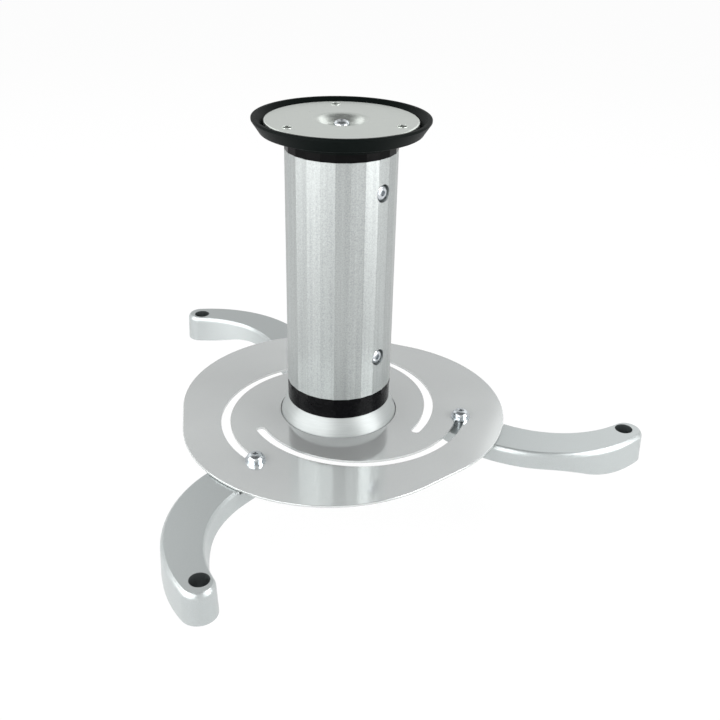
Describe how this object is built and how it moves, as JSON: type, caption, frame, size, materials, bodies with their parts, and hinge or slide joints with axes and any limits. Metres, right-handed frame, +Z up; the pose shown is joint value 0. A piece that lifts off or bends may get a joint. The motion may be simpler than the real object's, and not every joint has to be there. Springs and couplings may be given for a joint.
{
  "type": "projector ceiling mount",
  "caption": "Projector ceiling mount: faceted aluminium tube with a sliding cover above, and a ball joint below carrying a lobed plate with spiral slots and pivoting cast arms.",
  "frame": {"origin": "middle of the ceiling plate's top face, which lies on the ceiling", "axes": "+Z up into the ceiling, the tube hangs along -Z; the picture looks along +Y with +X to the right"},
  "size_m": [0.3026, 0.3203, 0.2027],
  "materials": {
    "zinc_sheet": "satin zinc plate",
    "bright_zinc": "bright zinc plate",
    "side_screw_steel": "satin stainless steel",
    "cover_black": "satin black moulded plastic",
    "hub_black": "gloss black glass-filled nylon",
    "collar_black": "satin black glass-filled nylon",
    "tube_aluminium": "bead-blasted silver anodised",
    "plate_silver": "silver metallic powder coat, semi-gloss",
    "dome_steel": "satin polished",
    "cup_casting": "die-cast, unpainted",
    "liner_nylon": "natural nylon",
    "arm_silver": "die-cast, silver paint, satin"
  },
  "bodies": {
    "root": {"ceiling_plate": "zinc_sheet", "centre_screw": "bright_zinc", "hub_nut": "bright_zinc", "upper_hub": "hub_black", "tube": "tube_aluminium", "upper_side_screw": "side_screw_steel", "lower_side_screw": "side_screw_steel", "lower_collar": "collar_black", "clamp_nut": "bright_zinc"},
    "cover": {"ceiling_cover": "cover_black"},
    "clamp": {"clamp_bolt": "bright_zinc", "clamp_cup": "cup_casting", "clamp_washer": "bright_zinc"},
    "liner": {"ball_liner": "liner_nylon"},
    "spider": {"spider_plate": "plate_silver", "ball_dome": "dome_steel"},
    "slider_1": {"slot_bolt_1": "bright_zinc", "slot_washer_1": "bright_zinc", "slot_sleeve_1": "bright_zinc", "slot_nut_1": "bright_zinc"},
    "arm_1": {"arm_1": "arm_silver"},
    "slider_2": {"slot_bolt_2": "bright_zinc", "slot_washer_2": "bright_zinc", "slot_sleeve_2": "bright_zinc", "slot_nut_2": "bright_zinc"},
    "arm_2": {"arm_2": "arm_silver"},
    "slider_3": {"slot_bolt_3": "bright_zinc", "slot_washer_3": "bright_zinc", "slot_sleeve_3": "bright_zinc", "slot_nut_3": "bright_zinc"},
    "arm_3": {"arm_3": "arm_silver"}
  },
  "joints": [
    {"name": "cover_slide", "type": "slide", "parent": "root", "child": "cover", "axis": [0, 0, 1], "range_m": [-0.14, 0]},
    {"name": "ball_turn", "type": "hinge", "parent": "root", "child": "clamp", "pos_m": [0, 0, -0.1923], "axis": [0, 0, 1], "continuous": true},
    {"name": "ball_tilt", "type": "hinge", "parent": "clamp", "child": "liner", "pos_m": [0, 0, -0.1923], "axis": [1, 0, 0], "range_deg": [-15, 15]},
    {"name": "plate_spin", "type": "hinge", "parent": "liner", "child": "spider", "pos_m": [0, 0, -0.1923], "axis": [0, 0, 1], "continuous": true},
    {"name": "arm_1_slide", "type": "hinge", "parent": "spider", "child": "slider_1", "pos_m": [0.01169, 0.0027, -0.1815], "axis": [0, 0, 1], "range_deg": [-90, 0]},
    {"name": "arm_1_swing", "type": "hinge", "parent": "slider_1", "child": "arm_1", "pos_m": [0.07585, -0.01047, -0.1893], "axis": [0, 0, 1], "range_deg": [-75, 110]},
    {"name": "arm_2_slide", "type": "hinge", "parent": "spider", "child": "slider_2", "pos_m": [-0.00818, 0.00878, -0.1815], "axis": [0, 0, 1], "range_deg": [-90, 0]},
    {"name": "arm_2_swing", "type": "hinge", "parent": "slider_2", "child": "arm_2", "pos_m": [-0.02886, 0.07093, -0.1893], "axis": [0, 0, 1], "range_deg": [-75, 110]},
    {"name": "arm_3_slide", "type": "hinge", "parent": "spider", "child": "slider_3", "pos_m": [-0.00351, -0.01148, -0.1815], "axis": [0, 0, 1], "range_deg": [-90, 0]},
    {"name": "arm_3_swing", "type": "hinge", "parent": "slider_3", "child": "arm_3", "pos_m": [-0.047, -0.06046, -0.1893], "axis": [0, 0, 1], "range_deg": [-75, 110]}
  ]
}
